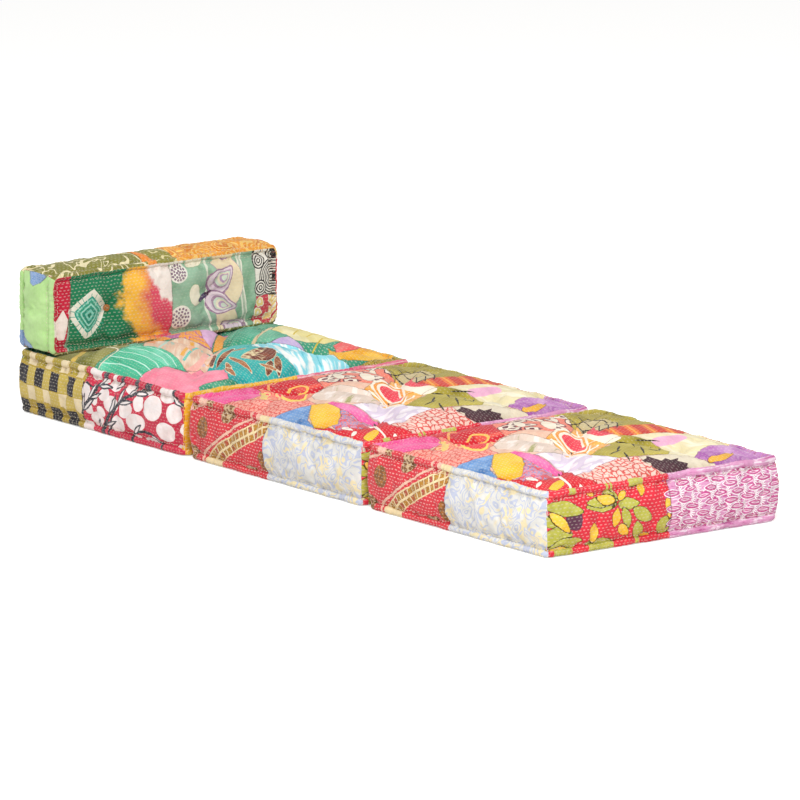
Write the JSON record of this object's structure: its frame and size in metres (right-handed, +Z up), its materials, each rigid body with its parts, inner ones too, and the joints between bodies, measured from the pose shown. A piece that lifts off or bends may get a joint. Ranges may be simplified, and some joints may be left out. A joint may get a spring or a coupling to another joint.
{
  "type": "modular pouf",
  "caption": "Low floor day bed of loose square tufted patchwork cushion modules, with a tufted back cushion that stands on the head module.",
  "frame": {"origin": "on the floor, under the middle of the row of seat modules", "axes": "+X from the head module to the foot module, +Y to the far side, +Z up"},
  "size_m": [2.1, 0.6994, 0.365],
  "materials": {
    "patchwork_cotton": "quilted patchwork of printed cotton scraps with hand running stitch",
    "quilted_band_cotton": "quilted printed cotton side bands",
    "backing_cotton": "plain woven cotton underside",
    "rolled_edge_cotton": "pinched edge, whip-stitched with thick cotton thread",
    "cotton_filling": "beaten cotton batting",
    "tuft_twine": "waxed cotton twine",
    "turned_wood": "turned and oiled hardwood"
  },
  "bodies": {
    "head_seat": {"head_seat_filling": "cotton_filling", "head_seat_top_panel": "patchwork_cotton", "head_seat_underside_panel": "backing_cotton", "head_seat_near_band": "quilted_band_cotton", "head_seat_far_band": "quilted_band_cotton", "head_seat_head_band": "quilted_band_cotton", "head_seat_foot_band": "quilted_band_cotton", "head_seat_top_roll": "rolled_edge_cotton", "head_seat_bottom_roll": "rolled_edge_cotton", "head_seat_corner_rolls": "rolled_edge_cotton", "head_seat_tuft_twines": "tuft_twine", "head_seat_tuft_knots": "tuft_twine"},
    "middle_seat": {"middle_seat_filling": "cotton_filling", "middle_seat_top_panel": "patchwork_cotton", "middle_seat_underside_panel": "backing_cotton", "middle_seat_near_band": "quilted_band_cotton", "middle_seat_far_band": "quilted_band_cotton", "middle_seat_head_band": "quilted_band_cotton", "middle_seat_foot_band": "quilted_band_cotton", "middle_seat_top_roll": "rolled_edge_cotton", "middle_seat_bottom_roll": "rolled_edge_cotton", "middle_seat_corner_rolls": "rolled_edge_cotton", "middle_seat_tuft_twines": "tuft_twine", "middle_seat_tuft_knots": "tuft_twine"},
    "foot_seat": {"foot_seat_filling": "cotton_filling", "foot_seat_top_panel": "patchwork_cotton", "foot_seat_underside_panel": "backing_cotton", "foot_seat_near_band": "quilted_band_cotton", "foot_seat_far_band": "quilted_band_cotton", "foot_seat_head_band": "quilted_band_cotton", "foot_seat_foot_band": "quilted_band_cotton", "foot_seat_top_roll": "rolled_edge_cotton", "foot_seat_bottom_roll": "rolled_edge_cotton", "foot_seat_corner_rolls": "rolled_edge_cotton", "foot_seat_tuft_twines": "tuft_twine", "foot_seat_tuft_knots": "tuft_twine"},
    "back": {"back_filling": "cotton_filling", "back_front_panel": "patchwork_cotton", "back_rear_panel": "patchwork_cotton", "back_top_band": "quilted_band_cotton", "back_bottom_band": "quilted_band_cotton", "back_near_end_band": "quilted_band_cotton", "back_far_end_band": "quilted_band_cotton", "back_front_roll": "rolled_edge_cotton", "back_rear_roll": "rolled_edge_cotton", "back_corner_rolls": "rolled_edge_cotton", "back_tuft_twines": "tuft_twine", "back_tuft_knots": "tuft_twine", "back_tuft_button": "turned_wood"}
  },
  "joints": [
    {"name": "middle_pull", "type": "slide", "parent": "head_seat", "child": "middle_seat", "axis": [1, 0, 0], "range_m": [0, 0.35]},
    {"name": "foot_pull", "type": "slide", "parent": "middle_seat", "child": "foot_seat", "axis": [1, 0, 0], "range_m": [0, 0.35]},
    {"name": "back_lift", "type": "slide", "parent": "head_seat", "child": "back", "axis": [0, 0, 1], "range_m": [0, 0.25]}
  ]
}
